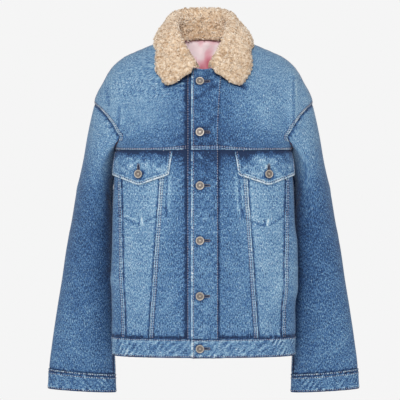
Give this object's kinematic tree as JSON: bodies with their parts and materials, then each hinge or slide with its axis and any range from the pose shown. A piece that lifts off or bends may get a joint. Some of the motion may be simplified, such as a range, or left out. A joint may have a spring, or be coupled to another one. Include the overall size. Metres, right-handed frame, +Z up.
{
  "type": "sherpa lined jacket",
  "caption": "Boxy denim trucker jacket with a folded sherpa collar, satin at the neck, buttoned front, flap pockets and V seams, held open in its worn shape.",
  "frame": {"origin": "middle of the neck, level with the tops of the two shoulder seams", "axes": "+Z up along the wearer's spine, -Y towards the buttoned front, +X towards the wearer's left sleeve"},
  "size_m": [0.6566, 0.2362, 0.8198],
  "materials": {
    "denim_light": "washed denim, light blue",
    "denim_mid": "washed denim, mid blue",
    "sherpa_cream": "curly pile, cream to tan",
    "satin_pink": "satin sheen",
    "aged_nickel": "worn, with a pale rim"
  },
  "bodies": {
    "root": {"back_centre": "denim_mid", "back_side_left": "denim_mid", "back_side_right": "denim_mid", "back_yoke": "denim_mid", "button_flap_left": "aged_nickel", "button_flap_right": "aged_nickel", "button_front_1": "aged_nickel", "button_front_2": "aged_nickel", "button_front_3": "aged_nickel", "button_front_4": "aged_nickel", "button_front_5": "aged_nickel", "button_front_6": "aged_nickel", "collar_sherpa": "sherpa_cream", "cuff_left": "denim_mid", "cuff_right": "denim_mid", "front_centre_left": "denim_light", "front_centre_right": "denim_light", "front_pocket_panel_left": "denim_light", "front_pocket_panel_right": "denim_light", "front_yoke_left": "denim_light", "front_yoke_right": "denim_light", "lining_back_neck": "satin_pink", "placket_lower": "denim_mid", "placket_upper": "denim_mid", "pocket_flap_left": "denim_light", "pocket_flap_right": "denim_light", "side_panel_left": "denim_light", "side_panel_right": "denim_light", "sleeve_top_left": "denim_mid", "sleeve_top_right": "denim_mid", "sleeve_under_left": "denim_mid", "sleeve_under_right": "denim_mid", "under_collar": "denim_mid", "underlap": "denim_mid", "waistband": "denim_light"}
  },
  "joints": []
}
